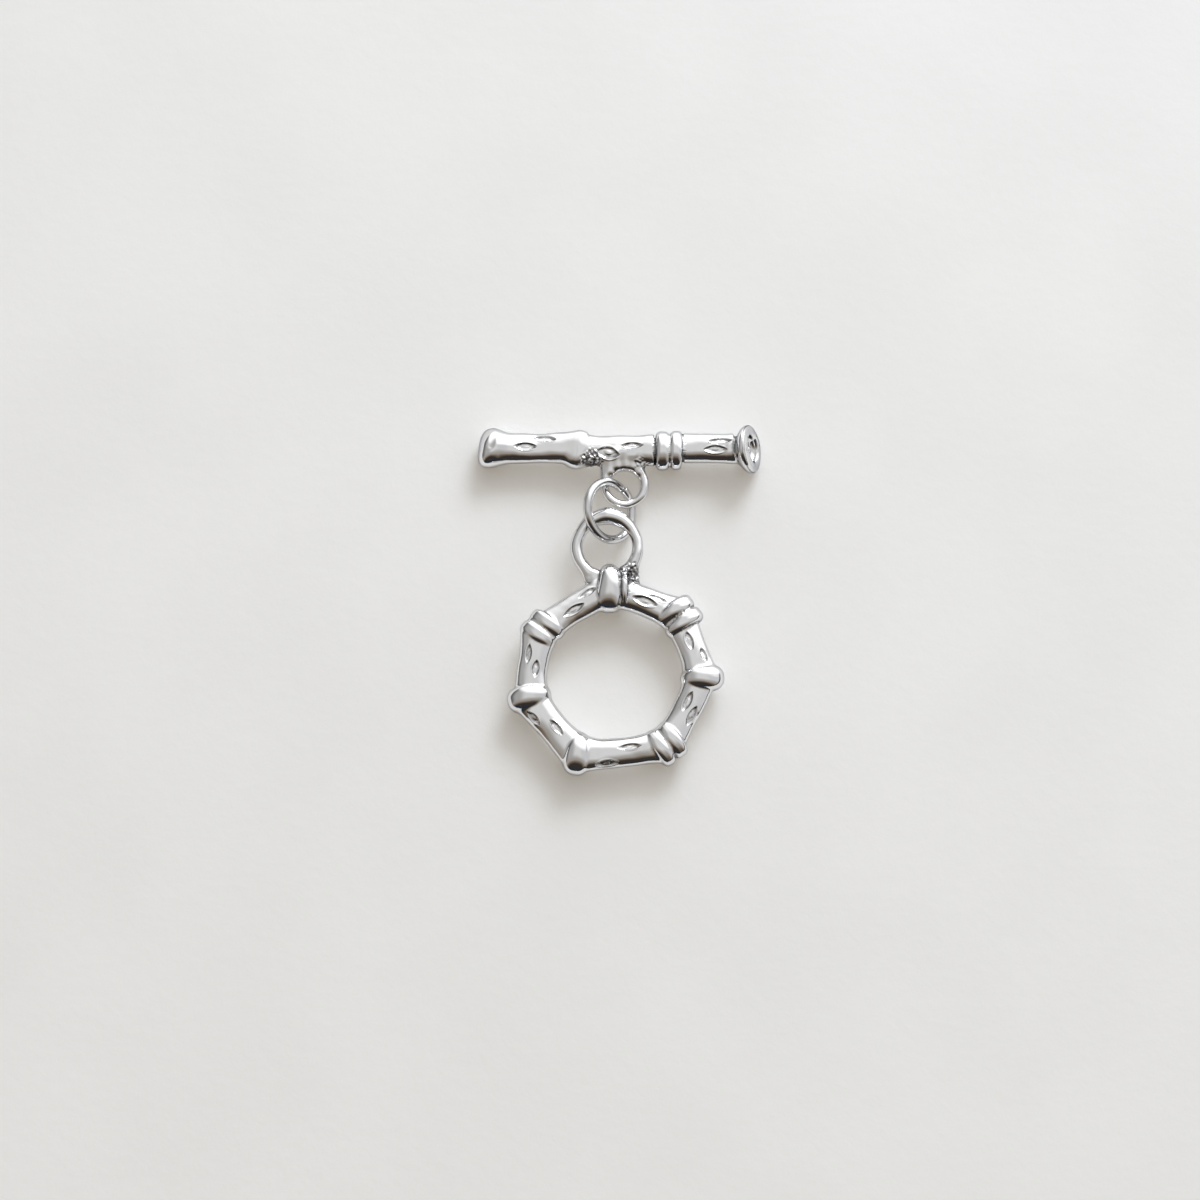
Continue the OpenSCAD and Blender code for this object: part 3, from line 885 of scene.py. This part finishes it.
def paperMaterial():
    material, tree, shader, where = newMaterial("palePaper")
    noise = "ShaderNodeTexNoise"
    fibre = makeNode(tree, noise, {}, where, Scale=paper["fibreScale"], Detail=6.0, Roughness=0.6)
    mottle = makeNode(tree, noise, {}, where, Scale=paper["mottleScale"], Detail=3.0)
    colour = mixColour(tree, mottle.ease(0.3, 0.7) * 0.5 + fibre * 0.3, paper["low"], paper["high"])
    bump = makeNode(tree, "ShaderNodeBump", {}, Strength=0.25, Distance=0.0001, Height=fibre + mottle * 0.5)
    feed(tree, shader, Base_Color=colour, Normal=bump)
    shader.inputs["Roughness"].default_value = paper["roughness"]
    shader.inputs["Emission Color"].default_value = paper["glow"]  # room light that fills the soft shadows
    shader.inputs["Emission Strength"].default_value = paper["glowStrength"]
    return material


# Studio

studio = dict(
    lens=100.0, sensor=36.0, clip=(0.001, 10), distance=0.2667, elevation=75.0,
    look=(-0.00155, -0.000263, 0.0018), floorHalf=0.6,
)
farWindow = dict(place=(0.14, 0.34, 0.24), target=(0, 0, 0), size=(0.22, 0.16), power=0.94,
                 colour=(0.915, 1.0, 1.095))
roomColours = dict(
    ceiling=(0.68, 0.68, 0.675, 1), window=(1.35, 1.36, 1.38, 1), right=(0.6, 0.6, 0.61, 1),
    left=(0.4, 0.395, 0.39, 1), lowLeft=(0.1, 0.1, 0.1, 1), shade=(0.34, 0.315, 0.285, 1),
    brown=(0.16, 0.12, 0.085, 1), black=(0.035, 0.03, 0.027, 1), low=(0.012, 0.026, 0.045, 1),
    foot=(0.03, 0.03, 0.035, 1),
)
# Ways in which the parts of the room lie, seen from the clasp
roomWays = dict(
    window=(0.36, 0.88, 0.3), right=(0.93, 0.2, 0.3), left=(-0.95, 0.1, 0.25), viewer=(-0.12, -0.98, 0.14),
    up=(0, 0, 1), foot=(-0.12, 0, 1),
)


def makeFloor():
    work = bmesh.new()
    bmesh.ops.create_grid(work, x_segments=1, y_segments=1, size=studio["floorHalf"])
    mesh = bpy.data.meshes.new("paperFloor")
    work.to_mesh(mesh)
    work.free()
    floor = newObject("paperFloor", mesh)
    mesh.materials.append(paperMaterial())


def makeCamera():
    data = bpy.data.cameras.new("camera")
    data.lens, data.sensor_width = studio["lens"], studio["sensor"]
    data.clip_start, data.clip_end = studio["clip"]
    camera = newObject("camera", data)
    e = radians(studio["elevation"])
    back = Vector((0, -cos(e), sin(e)))
    camera.location = Vector(studio["look"]) + back * studio["distance"]
    camera.rotation_euler = (pi / 2 - e, 0, 0)
    bpy.context.scene.camera = camera


def makeLamp(name, s):
    data = bpy.data.lights.new(name, "AREA")
    data.shape = "RECTANGLE"
    data.size, data.size_y = s["size"]
    data.energy, data.color = s["power"], s["colour"]
    lamp = newObject(name, data)
    lamp.location = s["place"]
    lamp.rotation_euler = (Vector(s["target"]) - Vector(s["place"])).to_track_quat("-Z", "Y").to_euler()


def makeWorld():
    # low bright window beyond the clasp, pale ceiling, dark room behind the viewer
    world = bpy.data.worlds.new("room")
    bpy.context.scene.world = world
    world.use_nodes = True
    tree = world.node_tree
    way = makeNode(tree, "ShaderNodeTexCoord", {}, out=0)
    dot = dict(operation="DOT_PRODUCT")
    towards = {name: makeNode(tree, "ShaderNodeVectorMath", dot, way, direction, out=1)
               for name, direction in roomWays.items()}
    paint = roomColours
    up, viewer = towards["up"], towards["viewer"]
    left = mixColour(tree, up.ease(0.05, 0.6), paint["lowLeft"], paint["left"])
    dark = mixColour(tree, up.ease(0.1, 0.4), paint["low"], paint["black"])
    layers = [
        (towards["right"].ease(0.5, 0.8), paint["right"]), (towards["left"].ease(0.4, 0.8), left),
        (viewer.ease(0.16, 0.5), paint["shade"]), (viewer.ease(0.5, 0.66), paint["brown"]),
        (viewer.ease(0.62, 0.78), dark), ((1.0 - towards["foot"].ease(0.05, 0.1)) * 0.95, paint["foot"]),
        (towards["window"].ease(0.55, 0.85), paint["window"]),
    ]
    colour = paint["ceiling"]
    for share, layer in layers:
        colour = mixColour(tree, share, colour, layer)
    feed(tree, tree.nodes["Background"], Color=colour)


plate = plateMaterial("brightPlate", plateFinish)
wirePlate = plateMaterial("brightWire", wireFinish)
makeFloor()
makeCamera()
makeWorld()
makeLamp("farWindow", farWindow)
print("studio ready")
bpy.context.scene.view_settings.view_transform = "Standard"
finishPiece(makeBar(), plate, "toggle_bar")
finishPiece(makeRing(), plate, "toggle_ring")
finishPiece(makeJump(), wirePlate, "jump_ring")
